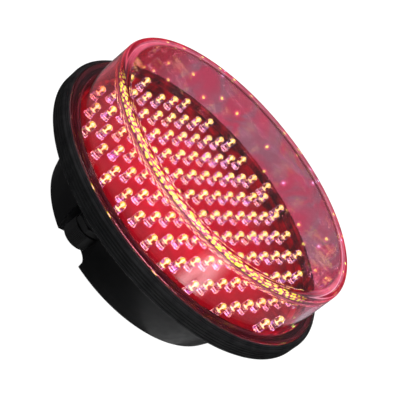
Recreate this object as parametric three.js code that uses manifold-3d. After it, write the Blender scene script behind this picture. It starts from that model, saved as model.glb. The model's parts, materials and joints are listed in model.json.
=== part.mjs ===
// A red LED lamp module for a 200 mm traffic signal. Millimetres, +Z up and out of the lens.
// The origin is the centre of the flat back, and the cable gland is on the -Y side.
import * as THREE from "three";
import { mergeVertices } from "three/addons/utils/BufferGeometryUtils.js";
import Module from "manifold-3d";

// Driving dimensions
const LED_PITCH = 15.24; // the grid is 0.6 inch square
const ROW_COUNTS = [7, 9, 11, 11, 11, 11, 11, 11, 11, 9, 7];
const PAIR_OFFSET = 5.85 * LED_PITCH; // four pairs of LEDs stand outside the grid
const PAIR_HALF_GAP = 0.6 * LED_PITCH;
const LED_PLANE = 49.5; // height of the middle of the LED flanges
const CLEARANCE = 0.3; // gap between pieces that touch
const ROUND_SIDES = 40; // sides of the large turned pieces

const BACK_RADIUS = 73.8; // conical back
const BACK_FILLET = 3.4;
const CONE_SLOPE = 0.336; // radius gained per millimetre of height
const WALL = 2.5;
const FLOOR = 3;
const CAN_TOP = 42.7; // the conical can ends here, under the rim frame
const SPIGOT_RADIUS = 84; // ring of the rim frame that sits inside the can
const SPIGOT_LOW = 39;
const LEDGE_UNDERSIDE = 43;
const LEDGE_TOP = 46.8;
const LEDGE_RADIUS = 95.8;
const RIM_RADIUS = 106;
const RIM_LOW = 45.6;
const RIM_HIGH = 49.2;
const FLANGE_RADIUS = 104.3;
const FLANGE_TOP = 52.4;

const GASKET_RADIUS = 108.2; // mounting gasket
const GASKET_LOW = 42.8;
const GASKET_SHOULDER = 53;
const GASKET_TOP = 55;
const GASKET_RIDGES = 5;
const RIDGE_DEPTH = 0.6;

const LENS_TOP = 91.05; // lens
const LENS_BASE_RADIUS = 98;
const LENS_TOP_RADIUS = 97.2;
const LENS_FLANGE_TOP = 55.7;
const LENS_FLANGE_RADIUS = 104.4;
const LENS_WALL = 3;
const LENS_CORNER = 2.7;
const LENS_INNER_CORNER = 5;

const SEAL_RADIUS = 100; // O-ring under the lens flange
const SEAL_SECTION = 1.3;

const BOARD_RADIUS = 94.5; // LED board
const BOARD_THICKNESS = 1.6;

const GLAND_Y = -76; // gland axis, parallel to Z
const RECESS_RADIUS = 14;
const RECESS_TOP = 30;
const BOSS_TOP = 38;
const NUT_RADIUS = 9.25;
const NUT_LOW = 11;
const NUT_HIGH = 22.1;
const NUT_SECTORS = 3; // ribbed sectors, with as many smooth ones between them
const SECTOR_RIBS = 10;
const RIB_DEPTH = 0.35;
const FIRST_SECTOR = -69; // degrees, the middle of a ribbed sector
const COLLAR_LOW = 23;
const COLLAR_HIGH = 27;
const STUB_RADIUS = 6; // M12 entry thread
const CABLE_RADIUS = 3.3;

const LED_RADIUS = 2.6; // LEDs
const LED_SHOULDER = 8.4;
const LED_HEIGHT = 10.6;
const TRACK_SIZE = [1, 0.4];
const WIRE_HOLE_RADIUS = 1.6;

const DRIVER_LOW = 9.3; // driver board
const DRIVER_SIZE = [104, 72];
const DRIVER_Y = 12;
const DRIVER_TOP = DRIVER_LOW + BOARD_THICKNESS;
const PARTS_LOW = DRIVER_TOP + CLEARANCE;
const SCREW_INSET = 5;
const SCREW_POST_RADIUS = 4;
const PILOT_RADIUS = 1.5;
const POST_RADIUS = 4.6; // hexagonal posts under the LED board
const SUPPLY_WIRE_RADIUS = 1.1;
const LED_WIRE_RADIUS = 0.9;

const wasm = await Module();
wasm.setup();

// Solids

function solidOf(geometry) {
  const bare = geometry.index ? geometry.clone() : mergeVertices(geometry);
  bare.deleteAttribute("normal");
  bare.deleteAttribute("uv");
  const merged = mergeVertices(bare, 1e-4);
  const corners = merged.index.array;
  const kept = [];
  for (let i = 0; i < corners.length; i += 3) {
    const [a, b, c] = corners.slice(i, i + 3);
    if (a !== b && b !== c && c !== a) kept.push(a, b, c);
  }
  return new wasm.Manifold(
    new wasm.Mesh({
      numProp: 3,
      vertProperties: merged.attributes.position.array,
      triVerts: new Uint32Array(kept),
    }),
  );
}

function geometryOf(solid) {
  const mesh = solid.getMesh();
  const geometry = new THREE.BufferGeometry();
  geometry.setAttribute("position", new THREE.BufferAttribute(mesh.vertProperties, 3));
  geometry.setIndex(new THREE.BufferAttribute(mesh.triVerts, 1));
  return geometry;
}

// A solid of revolution about Z. The outline is a closed list of [radius, height].
function turned(outline, sides = ROUND_SIDES) {
  let area = 0;
  outline.forEach(([r, z], i) => {
    const [nextR, nextZ] = outline[(i + 1) % outline.length];
    area += r * nextZ - nextR * z;
  });
  const ordered = area > 0 ? outline : [...outline].reverse();
  const points = [...ordered, ordered[0]].map(([r, z]) => new THREE.Vector2(r, z));
  return solidOf(new THREE.LatheGeometry(points, sides).rotateX(Math.PI / 2));
}

function cylinder(radius, low, high, sides = 24, x = 0, y = 0) {
  const outline = [[0, low], [radius, low], [radius, high], [0, high]];
  return turned(outline, sides).translate([x, y, 0]);
}

function ring(inner, outer, low, high, sides = ROUND_SIDES) {
  return turned([[inner, low], [outer, low], [outer, high], [inner, high]], sides);
}

function box([width, depth, height], [x, y, low]) {
  const geometry = new THREE.BoxGeometry(width, depth, height);
  return solidOf(geometry.translate(x, y, low + height / 2));
}

function prism(shape, low, high) {
  const settings = { depth: high - low, bevelEnabled: false, curveSegments: 6 };
  return solidOf(new THREE.ExtrudeGeometry(shape, settings).translate(0, 0, low));
}

function polygon(radius, sides) {
  const points = Array.from({ length: sides }, (_, i) => {
    const angle = (i * 2 * Math.PI) / sides;
    return new THREE.Vector2(radius * Math.cos(angle), radius * Math.sin(angle));
  });
  return new THREE.Shape(points);
}

function tube(points, radius, steps, sides = 8) {
  const curve = new THREE.CatmullRomCurve3(points.map((p) => new THREE.Vector3(...p)));
  const settings = { steps, extrudePath: curve, bevelEnabled: false };
  return solidOf(new THREE.ExtrudeGeometry(polygon(radius, sides), settings));
}

// Points of an arc in an outline, from one angle to another in degrees.
function arc(r, z, radius, from, to, steps = 4) {
  return Array.from({ length: steps + 1 }, (_, i) => {
    const angle = THREE.MathUtils.degToRad(from + ((to - from) * i) / steps);
    return [r + radius * Math.cos(angle), z + radius * Math.sin(angle)];
  });
}

// Finishes

function finish(color, roughness, metalness = 0, opacity = 1) {
  const transparent = opacity < 1;
  return new THREE.MeshStandardMaterial({ color, roughness, metalness, opacity, transparent });
}

const blackPlastic = finish(0x17181a, 0.45);
const blackRubber = finish(0x1d1e20, 0.8);
const redLens = finish(0xc41a30, 0.08, 0, 0.45);
const clearEpoxy = finish(0xf3c9b8, 0.1, 0, 0.7);
const boardRed = finish(0xc02a32, 0.4);
const boardGreen = finish(0x1f5a3a, 0.5);
const nylonBlack = finish(0x202124, 0.55);
const steel = finish(0xb8bbc0, 0.3, 1);
const aluminium = finish(0xc3c6ca, 0.4, 1);
const ferrite = finish(0x3a3b3f, 0.6);
const tape = finish(0xd9b23a, 0.6);
const sleeveBlue = finish(0x1e2f66, 0.4);
const filmYellow = finish(0xc9a227, 0.45);
const ceramicBlue = finish(0x2f6db5, 0.5);
const glass = finish(0xdfe6e4, 0.05, 0, 0.5);
const terminalGreen = finish(0x2c8a4b, 0.5);
const wireRed = finish(0xb3201c, 0.5);
const wireBlack = finish(0x1b1b1d, 0.5);

// Lens and seals

function lens() {
  const flatTop = LENS_TOP - LENS_WALL + CLEARANCE;
  const innerTop = LENS_TOP_RADIUS - LENS_WALL;
  const innerBase = LENS_BASE_RADIUS - LENS_WALL;
  const flangeLow = FLANGE_TOP + CLEARANCE;
  return turned([
    [0, LENS_TOP],
    ...arc(LENS_TOP_RADIUS - LENS_CORNER, LENS_TOP - LENS_CORNER, LENS_CORNER, 90, 0),
    [LENS_BASE_RADIUS, LENS_FLANGE_TOP],
    [LENS_FLANGE_RADIUS - 0.6, LENS_FLANGE_TOP],
    [LENS_FLANGE_RADIUS, LENS_FLANGE_TOP - 0.6],
    [LENS_FLANGE_RADIUS, flangeLow],
    [innerBase, flangeLow],
    ...arc(innerTop - LENS_INNER_CORNER, flatTop - LENS_INNER_CORNER, LENS_INNER_CORNER, 0, 90),
    [0, flatTop],
  ]);
}

function lensSeal() {
  const middle = FLANGE_TOP + CLEARANCE / 2 - SEAL_SECTION;
  return turned(arc(SEAL_RADIUS, middle, SEAL_SECTION, 0, 300, 5));
}

// A channel of rubber: its groove grips the rim of the housing, and ridges run round its outside.
function mountingGasket() {
  const lipRadius = LEDGE_RADIUS + CLEARANCE;
  const wallRadius = LENS_FLANGE_RADIUS + CLEARANCE;
  const grooveRadius = RIM_RADIUS + CLEARANCE;
  const step = (GASKET_SHOULDER - GASKET_LOW) / GASKET_RIDGES;
  const ridges = [];
  for (let i = 0; i < GASKET_RIDGES; i++) {
    const low = GASKET_LOW + i * step;
    ridges.push([GASKET_RADIUS - RIDGE_DEPTH, low]);
    ridges.push([GASKET_RADIUS, low + step * 0.6]);
  }
  return turned([
    [lipRadius, GASKET_LOW],
    ...ridges,
    [GASKET_RADIUS, GASKET_SHOULDER],
    [wallRadius + 0.8, GASKET_TOP],
    [wallRadius, GASKET_TOP],
    [wallRadius, RIM_HIGH + CLEARANCE],
    [grooveRadius, RIM_HIGH + CLEARANCE],
    [grooveRadius, RIM_LOW - CLEARANCE],
    [lipRadius, RIM_LOW - CLEARANCE],
  ]);
}

// Housing

function coneRadius(height) {
  return BACK_RADIUS + CONE_SLOPE * height;
}

function backArc() {
  return arc(BACK_RADIUS - BACK_FILLET, BACK_FILLET, BACK_FILLET, -90, 0);
}

// The space inside the can's outer surface, up to a height.
function canEnvelope(height) {
  return turned([[0, 0], ...backArc(), [coneRadius(height), height], [0, height]]);
}

const DRIVER_SCREWS = [[-1, -1], [1, -1], [1, 1], [-1, 1]].map(([i, j]) => [
  i * (DRIVER_SIZE[0] / 2 - SCREW_INSET),
  DRIVER_Y + j * (DRIVER_SIZE[1] / 2 - SCREW_INSET),
]);

function rearHousing() {
  let can = turned([
    [0, 0.6],
    [58, 0.6],
    [59, 0],
    ...backArc(),
    [coneRadius(CAN_TOP), CAN_TOP],
    [coneRadius(CAN_TOP) - WALL, CAN_TOP],
    [coneRadius(FLOOR) - WALL, FLOOR],
    [0, FLOOR],
  ]);
  for (const [x, y] of DRIVER_SCREWS) {
    can = can.add(cylinder(SCREW_POST_RADIUS, FLOOR - 1, DRIVER_LOW - CLEARANCE, 16, x, y));
    can = can.subtract(cylinder(PILOT_RADIUS, FLOOR, DRIVER_LOW + 1, 12, x, y));
  }
  const pocketRadius = RECESS_RADIUS + WALL + CLEARANCE;
  return can.subtract(cylinder(pocketRadius, -1, BOSS_TOP + CLEARANCE, 32, 0, GLAND_Y));
}

// The cup that forms the recess in the side of the can and holds the cable gland.
function glandPocket() {
  const cup = cylinder(RECESS_RADIUS + WALL, -1, BOSS_TOP, 32, 0, GLAND_Y);
  const recess = cylinder(RECESS_RADIUS, -2, RECESS_TOP, 32, 0, GLAND_Y);
  const stub = cylinder(STUB_RADIUS + CLEARANCE, RECESS_TOP - 1, BOSS_TOP - 3, 24, 0, GLAND_Y);
  const cable = cylinder(CABLE_RADIUS + 1, RECESS_TOP, BOSS_TOP + 1, 16, 0, GLAND_Y);
  return cup.intersect(canEnvelope(CAN_TOP)).subtract(recess).subtract(stub).subtract(cable);
}

// The frame that closes the can, carries the LED board and the seal, and holds the gasket.
function rimFrame() {
  const grooveLow = FLANGE_TOP - 2 * SEAL_SECTION - CLEARANCE;
  const grooveHalf = SEAL_SECTION + CLEARANCE;
  return turned([
    [SPIGOT_RADIUS, SPIGOT_LOW],
    [SPIGOT_RADIUS, LEDGE_UNDERSIDE],
    [LEDGE_RADIUS, LEDGE_UNDERSIDE],
    [LEDGE_RADIUS, RIM_LOW],
    [RIM_RADIUS, RIM_LOW],
    [RIM_RADIUS, RIM_HIGH],
    [FLANGE_RADIUS, RIM_HIGH],
    [FLANGE_RADIUS, FLANGE_TOP],
    [SEAL_RADIUS + grooveHalf, FLANGE_TOP],
    [SEAL_RADIUS + grooveHalf, grooveLow],
    [SEAL_RADIUS - grooveHalf, grooveLow],
    [SEAL_RADIUS - grooveHalf, FLANGE_TOP],
    [LEDGE_RADIUS, FLANGE_TOP],
    [LEDGE_RADIUS, LEDGE_TOP],
    [SPIGOT_RADIUS - 2, LEDGE_TOP],
    [SPIGOT_RADIUS - 2, SPIGOT_LOW],
  ]);
}

// LED board and LEDs

const BOARD_TOP = LED_PLANE - 0.5 - CLEARANCE;
const BOARD_LOW = BOARD_TOP - BOARD_THICKNESS;

function ledBoard() {
  const board = cylinder(BOARD_RADIUS, BOARD_LOW, BOARD_TOP, ROUND_SIDES);
  const wireHole = cylinder(WIRE_HOLE_RADIUS, BOARD_LOW - 1, BOARD_TOP + 1, 8);
  return board
    .subtract(wireHole.translate([LED_PITCH / 2, LED_PITCH / 2, 0]))
    .subtract(wireHole.translate([-LED_PITCH / 2, LED_PITCH / 2, 0]));
}

function retainingRing() {
  return ring(BOARD_RADIUS - 2, BOARD_RADIUS + 0.8, BOARD_TOP + CLEARANCE, FLANGE_TOP);
}

const LED_LOW = BOARD_TOP + CLEARANCE;

function led() {
  return turned([
    [0, LED_LOW],
    [LED_RADIUS, LED_LOW],
    [LED_RADIUS, LED_LOW + LED_SHOULDER],
    [0, LED_LOW + LED_HEIGHT],
  ], 6);
}

// LEDs in one line along Y, joined by the strip of track that they are soldered to.
function ledLine(x, ys) {
  const first = ys[0];
  const last = ys[ys.length - 1];
  const [width, height] = TRACK_SIZE;
  let line = box([width, last - first, height], [x, (first + last) / 2, LED_LOW]);
  for (const y of ys) line = line.add(led().translate([x, y, 0]));
  return line;
}

function ledRows() {
  return ROW_COUNTS.map((count, i) => {
    const x = (i - (ROW_COUNTS.length - 1) / 2) * LED_PITCH;
    const ys = Array.from({ length: count }, (_, j) => (j - (count - 1) / 2) * LED_PITCH);
    return ledLine(x, ys);
  });
}

function ledPair(turn) {
  return ledLine(PAIR_OFFSET, [-PAIR_HALF_GAP, PAIR_HALF_GAP]).rotate([0, 0, turn]);
}

function boardPost(x, y) {
  const post = prism(polygon(POST_RADIUS, 6), FLOOR + CLEARANCE, BOARD_LOW - CLEARANCE);
  return post.translate([x, y, 0]);
}

// Driver

function driverBoard() {
  let board = box([...DRIVER_SIZE, BOARD_THICKNESS], [0, DRIVER_Y, DRIVER_LOW]);
  for (const [x, y] of DRIVER_SCREWS) {
    board = board.subtract(cylinder(1.8, DRIVER_LOW - 1, DRIVER_TOP + 1, 12, x, y));
  }
  return board;
}

function screw(x, y) {
  const head = cylinder(3, PARTS_LOW, PARTS_LOW + 2, 16, x, y);
  const slot = box([0.8, 4.4, 1], [x, y, PARTS_LOW + 1.2]);
  return head.subtract(slot).add(cylinder(1.2, FLOOR + 1.5, PARTS_LOW + 0.1, 12, x, y));
}

const TRANSFORMER = [-26, 14];

function transformerCore() {
  const [x, y] = TRANSFORMER;
  const block = box([32, 12, 27], [x, y, PARTS_LOW]);
  const window = box([6, 14, 17], [0, y, PARTS_LOW + 5]);
  return block
    .subtract(window.translate([x - 8, 0, 0]))
    .subtract(window.translate([x + 8, 0, 0]));
}

function transformerWinding() {
  const [x, y] = TRANSFORMER;
  const coil = box([21.4, 21, 16.4], [x, y, PARTS_LOW + 5.3]);
  const middleLimb = box([10.6, 12.6, 18], [x, y, PARTS_LOW + 4.5]);
  return coil.subtract(middleLimb);
}

function capacitor(x, y, radius, height) {
  return turned([
    [0, PARTS_LOW],
    [radius, PARTS_LOW],
    [radius, PARTS_LOW + height - 0.6],
    [radius - 0.6, PARTS_LOW + height],
    [0, PARTS_LOW + height],
  ], 20).translate([x, y, 0]);
}

function varistor() {
  const disc = cylinder(7, -2, 2, 20).rotate([90, 0, 0]);
  return disc.translate([36, -13, PARTS_LOW + 8]).add(box([8, 0.8, 4], [36, -13, PARTS_LOW]));
}

function fuse() {
  const body = cylinder(2.6, -10, 10, 12).rotate([0, 90, 0]).translate([8, -15, PARTS_LOW + 5]);
  const clip = box([4, 5.6, 5], [0, -15, PARTS_LOW]);
  return body.add(clip).add(clip.translate([16, 0, 0]));
}

function heatSink() {
  let sink = box([26, 2.5, 24], [30, 33, PARTS_LOW]);
  for (let i = 0; i < 6; i++) {
    sink = sink.add(box([1.5, 9, 24], [18.25 + i * 4.7, 38.5, PARTS_LOW]));
  }
  return sink;
}

function powerTransistor() {
  return box([10, 4.4, 15], [30, 29.2, PARTS_LOW + 4]).add(box([6, 0.8, 5], [30, 29.2, PARTS_LOW]));
}

function terminalBlock() {
  let block = box([10.4, 9, 10], [-8, -17, PARTS_LOW]);
  for (const x of [-10.6, -5.4]) {
    block = block.subtract(box([3.4, 6, 4], [x, -20, PARTS_LOW + 2]));
    block = block.subtract(cylinder(1.8, PARTS_LOW + 7, PARTS_LOW + 11, 12, x, -16));
  }
  return block;
}

const SUPPLY_WIRES = [[-10.6, -1.5], [-5.4, 1.5]];

function supplyLead([blockX, glandX]) {
  const wireHeight = PARTS_LOW + 4;
  const up = BOSS_TOP + 5;
  return tube([
    [blockX, -19, wireHeight],
    [blockX, -28, wireHeight],
    [blockX, -40, wireHeight + 8],
    [(blockX + glandX) / 2, -56, up - 4],
    [glandX, -68, up + 0.5],
    [glandX, GLAND_Y, up - 3],
    [glandX, GLAND_Y, BOSS_TOP - 2.5],
  ], SUPPLY_WIRE_RADIUS, 28);
}

function ledLead(x) {
  const y = LED_PITCH / 2;
  return tube([
    [x, y - 14, PARTS_LOW],
    [x, y - 14, PARTS_LOW + 10],
    [x, y, BOARD_LOW - 12],
    [x, y, BOARD_TOP],
  ], LED_WIRE_RADIUS, 20);
}

// Cable gland

function glandBody() {
  const collar = prism(polygon(10, 6), COLLAR_LOW, COLLAR_HIGH);
  const neck = cylinder(6.4, NUT_LOW + 4.6, COLLAR_LOW + 1, 24);
  const stub = cylinder(STUB_RADIUS, COLLAR_HIGH - 1, BOSS_TOP - 3.4, 24);
  const seat = cylinder(5.4, NUT_LOW + 4, NUT_LOW + 10, 24);
  const bore = cylinder(CABLE_RADIUS + 0.6, NUT_LOW, BOSS_TOP, 16);
  return collar.add(neck).add(stub).subtract(seat).subtract(bore);
}

function glandWasher() {
  return ring(STUB_RADIUS + CLEARANCE, 9, COLLAR_HIGH + CLEARANCE, RECESS_TOP - CLEARANCE, 24);
}

// Sectors with fine ribs alternate with smooth ones round the nut.
function nutOutline() {
  const points = [];
  const period = 360 / NUT_SECTORS;
  const ribAngle = period / 2 / SECTOR_RIBS;
  const add = (degrees, radius) => {
    const angle = THREE.MathUtils.degToRad(degrees);
    points.push(new THREE.Vector2(radius * Math.cos(angle), radius * Math.sin(angle)));
  };
  for (let sector = 0; sector < NUT_SECTORS; sector++) {
    const start = FIRST_SECTOR - period / 4 + sector * period;
    for (let rib = 0; rib < SECTOR_RIBS; rib++) {
      add(start + rib * ribAngle, NUT_RADIUS);
      add(start + (rib + 0.5) * ribAngle, NUT_RADIUS - RIB_DEPTH);
    }
    for (let i = 0; i < 4; i++) add(start + period / 2 + (i * period) / 8, NUT_RADIUS);
  }
  return new THREE.Shape(points);
}

function glandNut() {
  const chamfer = 0.6;
  const settings = {
    depth: NUT_HIGH - NUT_LOW - 2 * chamfer,
    bevelThickness: chamfer,
    bevelSize: chamfer,
    bevelOffset: -chamfer,
    bevelSegments: 1,
  };
  const blank = new THREE.ExtrudeGeometry(nutOutline(), settings);
  const outer = solidOf(blank.translate(0, 0, NUT_LOW + chamfer));
  const thread = cylinder(6.8, NUT_LOW + 2.5, NUT_HIGH + 1, 24);
  const bore = cylinder(CABLE_RADIUS + 0.3, NUT_LOW - 1, NUT_HIGH, 16);
  return outer.subtract(thread).subtract(bore);
}

function glandSlipRing() {
  return ring(CABLE_RADIUS + 0.4, 6.3, NUT_LOW + 2.8, NUT_LOW + 4.2, 24);
}

function glandSeal() {
  return ring(CABLE_RADIUS, 5.1, NUT_LOW + 4.6, NUT_LOW + 9.7, 24);
}

// Assembly

const module200 = new THREE.Group();

function place(parent, name, solid, material) {
  const mesh = new THREE.Mesh(geometryOf(solid), material);
  mesh.name = name;
  parent.add(mesh);
}

place(module200, "rear_housing", rearHousing(), blackPlastic);
place(module200, "gland_pocket", glandPocket(), blackPlastic);
place(module200, "rim_frame", rimFrame(), blackPlastic);
place(module200, "mounting_gasket", mountingGasket(), blackRubber);
place(module200, "lens", lens(), redLens);
place(module200, "lens_seal", lensSeal(), blackRubber);
place(module200, "led_board", ledBoard(), boardRed);
place(module200, "retaining_ring", retainingRing(), nylonBlack);
ledRows().forEach((row, i) => {
  place(module200, "led_row_" + String(i + 1).padStart(2, "0"), row, clearEpoxy);
});
["right", "top", "left", "bottom"].forEach((side, i) => {
  place(module200, "led_pair_" + side, ledPair(90 * i), clearEpoxy);
});
[[-60, -22], [60, -22], [58, 30], [-58, 30]].forEach(([x, y], i) => {
  place(module200, "board_post_" + (i + 1), boardPost(x, y), nylonBlack);
});

place(module200, "driver_board", driverBoard(), boardGreen);
DRIVER_SCREWS.forEach(([x, y], i) => {
  place(module200, "driver_screw_" + (i + 1), screw(x, y), steel);
});
place(module200, "transformer_core", transformerCore(), ferrite);
place(module200, "transformer_winding", transformerWinding(), tape);
place(module200, "bulk_capacitor_1", capacitor(2, 34, 6.3, 22), sleeveBlue);
place(module200, "bulk_capacitor_2", capacitor(2, 18, 6.3, 22), sleeveBlue);
place(module200, "film_capacitor", box([8, 18, 14], [22, 12, PARTS_LOW]), filmYellow);
place(module200, "varistor", varistor(), ceramicBlue);
place(module200, "fuse", fuse(), glass);
place(module200, "heat_sink", heatSink(), aluminium);
place(module200, "power_transistor", powerTransistor(), nylonBlack);
place(module200, "terminal_block", terminalBlock(), terminalGreen);
place(module200, "supply_lead_1", supplyLead(SUPPLY_WIRES[0]), wireRed);
place(module200, "supply_lead_2", supplyLead(SUPPLY_WIRES[1]), wireBlack);
place(module200, "led_lead_1", ledLead(-LED_PITCH / 2), wireRed);
place(module200, "led_lead_2", ledLead(LED_PITCH / 2), wireBlack);

const gland = new THREE.Group();
gland.position.set(0, GLAND_Y, 0);
module200.add(gland);
place(gland, "gland_body", glandBody(), nylonBlack);
place(gland, "gland_washer", glandWasher(), blackRubber);
place(gland, "gland_seal", glandSeal(), blackRubber);
place(gland, "gland_slip_ring", glandSlipRing(), nylonBlack);
place(gland, "gland_nut", glandNut(), nylonBlack);

export default module200;
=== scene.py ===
"""Looks of a red LED lamp module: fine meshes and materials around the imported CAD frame."""

import json
import math

import bmesh
import bpy
from mathutils import Matrix, Vector

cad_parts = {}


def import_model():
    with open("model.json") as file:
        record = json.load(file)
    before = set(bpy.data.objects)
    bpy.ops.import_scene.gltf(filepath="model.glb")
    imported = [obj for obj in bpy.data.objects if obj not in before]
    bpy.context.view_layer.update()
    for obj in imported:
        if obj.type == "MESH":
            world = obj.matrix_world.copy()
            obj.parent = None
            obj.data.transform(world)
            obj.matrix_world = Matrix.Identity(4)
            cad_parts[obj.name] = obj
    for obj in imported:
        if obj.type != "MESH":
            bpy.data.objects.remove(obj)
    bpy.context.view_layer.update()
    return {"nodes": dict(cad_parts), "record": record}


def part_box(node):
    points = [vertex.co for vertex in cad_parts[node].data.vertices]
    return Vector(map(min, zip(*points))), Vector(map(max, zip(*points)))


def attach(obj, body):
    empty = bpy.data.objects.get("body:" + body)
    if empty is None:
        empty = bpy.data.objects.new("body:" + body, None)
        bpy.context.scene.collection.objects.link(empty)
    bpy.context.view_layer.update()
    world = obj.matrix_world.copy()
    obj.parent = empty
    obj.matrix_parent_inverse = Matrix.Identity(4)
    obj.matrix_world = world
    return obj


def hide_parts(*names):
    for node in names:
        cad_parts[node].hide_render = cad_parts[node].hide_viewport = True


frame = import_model()

MM = 0.001
TAU = 2 * math.pi
FINE = 240  # sides of the large turned pieces
SMALL = 96  # sides of the gland pieces
LED_SIDES = 24
SHARP = math.radians(38)  # edges steeper than this stay crisp

# Dimensions in millimetres, as in the CAD model
PITCH = 15.24
PAIR_GAP = 1.2 * PITCH
LED_SOLID_WIDTH = 4.5  # of a CAD LED along its row
GAP = 0.3  # between pieces
CONE_RADIUS = 73.8
CONE_SLOPE = 0.336
WALL = 2.5
CAN_FLOOR = 3
CAN_TOP = 42.7
FOOT_RADIUS = 58.8  # inside the ring that the can rests on
FOOT_STEP = 0.6
SCREW_BOSS_RADIUS = 4
SCREW_BOSS_TOP = 9
SKIRT_INNER = 82
SKIRT_OUTER = 84
SKIRT_LOW = 39
LEDGE_LOW = 43
LEDGE_TOP = 46.8
LEDGE_RADIUS = 95.8
RIM_RADIUS = 106
RIM_LOW = 45.6
RIM_TOP = 49.2
FLANGE_TOP = 52.4
FLANGE_RADIUS = 104.3
SEAL_RADIUS = 100
SEAL_SECTION = 1.3
SEAL_MIDDLE = 51.25
SEAL_GROOVE = 1.6  # half the width of its groove
GROOVE_LOW = 49.5
GASKET_LOW = 42.8
GASKET_RADIUS = 108.2
GASKET_SHOULDER = 53
GASKET_TOP = 55
RIDGE_COUNT = 5
RIDGE_DEPTH = 0.45
LENS_TOP = 91.05
LENS_FACE = 2.7  # thickness of the flat front
LENS_RADIUS = 98
LENS_TOP_RADIUS = 97.2
LENS_INNER = 94.2
LENS_MOUTH = 95
LENS_FLANGE_RADIUS = 104.4
LENS_FLANGE_LOW = 52.7
LENS_FLANGE_TOP = 55.7
BOARD_TOP = 48.7
BOARD_LOW = 47.1
BOARD_RADIUS = 94.5
LEAD_HOLE = 1.6
RECESS_RADIUS = 14
RECESS_TOP = 30
BOSS_TOP = 38
NECK_HOLE = 6.3
SUPPLY_HOLE = 4.3
NUT_RADIUS = 9.25
NUT_BORE = 6.8
NUT_FLOOR = 2.5
NUT_LOW = 11
NUT_HIGH = 22.1
CABLE_HOLE = 3.7
THREAD_LOW = 15.6
THREAD_LENGTH = 7.4
THREAD_RADIUS = 6.1
THREAD_DEPTH = 0.28
THREAD_PITCH = 1.5
HEXAGON_RADIUS = 10


# Meshes


def made_object(name, mesh_data, material, body, nodes=()):
    """A piece from a bmesh: it rides on a body and stands for the named CAD nodes."""
    bmesh.ops.recalc_face_normals(mesh_data, faces=mesh_data.faces)
    mesh = bpy.data.meshes.new(name)
    mesh_data.to_mesh(mesh)
    mesh_data.free()
    mesh.shade_smooth()
    mesh.set_sharp_from_angle(angle=SHARP)
    mesh.materials.append(material)
    piece = bpy.data.objects.new(name, mesh)
    bpy.context.scene.collection.objects.link(piece)
    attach(piece, body)
    if nodes:
        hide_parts(*nodes)
    return piece


def rounded(corners, steps=5):
    """An outline of (radius, height) points from corners of (radius, height, fillet)."""
    points = []
    count = len(corners)
    for i, (x, z, fillet) in enumerate(corners):
        here = Vector((x, z))
        before = Vector(corners[i - 1][:2]) - here
        after = Vector(corners[(i + 1) % count][:2]) - here
        half = before.angle(after, 0.0) / 2
        if fillet <= 0 or half < 0.02 or half > math.pi / 2 - 0.02:
            points.append((x, z))
            continue
        cut = min(fillet / math.tan(half), before.length * 0.49, after.length * 0.49)
        radius = cut * math.tan(half)
        middle = here + (before.normalized() + after.normalized()).normalized() * (
            radius / math.sin(half)
        )
        start = here + before.normalized() * cut - middle
        turn = start.angle_signed(here + after.normalized() * cut - middle)
        for k in range(steps + 1):
            angle = -turn * k / steps
            cos, sin = math.cos(angle), math.sin(angle)
            spoke = Vector((start.x * cos - start.y * sin, start.x * sin + start.y * cos))
            points.append(tuple(middle + spoke))
    return points


def turned(outline, sides=FINE, shape=None, centre=(0, 0), target=None):
    """A closed outline turned about a vertical axis. shape may change a radius by angle and height."""
    solid = target or bmesh.new()
    rings = []
    for radius, height in outline:
        if radius < 1e-6:
            rings.append([solid.verts.new((centre[0] * MM, centre[1] * MM, height * MM))])
            continue
        spin = []
        for i in range(sides):
            angle = TAU * i / sides
            reach = shape(angle, radius, height) if shape else radius
            x = centre[0] + reach * math.cos(angle)
            y = centre[1] + reach * math.sin(angle)
            spin.append(solid.verts.new((x * MM, y * MM, height * MM)))
        rings.append(spin)
    for near, far in zip(rings, rings[1:] + rings[:1]):
        if len(near) == 1 and len(far) == 1:
            continue
        for i in range(sides):
            j = (i + 1) % sides
            corners = [near[i % len(near)], near[j % len(near)], far[j % len(far)], far[i % len(far)]]
            solid.faces.new(list(dict.fromkeys(corners)))
    return solid


def block(solid, size, middle):
    """A closed box added to a bmesh, in millimetres."""
    made = bmesh.ops.create_cube(solid, size=MM)
    bmesh.ops.scale(solid, vec=size, verts=made["verts"])
    bmesh.ops.translate(solid, vec=Vector(middle) * MM, verts=made["verts"])


def cylinder(radius, low, high):
    """The outline of a cylinder."""
    return [(0, low), (radius, low), (radius, high), (0, high)]


def cutter(outline, sides, centre=(0, 0)):
    """A hidden solid for a boolean."""
    solid = turned(outline, sides, centre=centre)
    bmesh.ops.recalc_face_normals(solid, faces=solid.faces)
    mesh = bpy.data.meshes.new("cutter")
    solid.to_mesh(mesh)
    solid.free()
    tool = bpy.data.objects.new("cutter", mesh)
    bpy.context.scene.collection.objects.link(tool)
    return tool


def combine(piece, tool, operation):
    """Joins or cuts with a tool, then removes the tool."""
    step = piece.modifiers.new(operation, "BOOLEAN")
    step.operation = operation
    step.solver = "MANIFOLD"
    step.object = tool
    apply_modifiers(piece)
    bpy.data.objects.remove(tool)


def apply_modifiers(piece):
    """Replaces the mesh of a piece by what its modifiers make of it."""
    graph = bpy.context.evaluated_depsgraph_get()
    made = bpy.data.meshes.new_from_object(piece.evaluated_get(graph))
    piece.modifiers.clear()
    old = piece.data
    piece.data = made
    made.name = piece.name
    bpy.data.meshes.remove(old)


def soften(piece, width):
    """Small rounds on the sharp edges of a piece."""
    bevel = piece.modifiers.new("edges", "BEVEL")
    bevel.width = width * MM
    bevel.segments = 2
    bevel.limit_method = "ANGLE"
    bevel.angle_limit = math.radians(40)


# Materials


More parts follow.
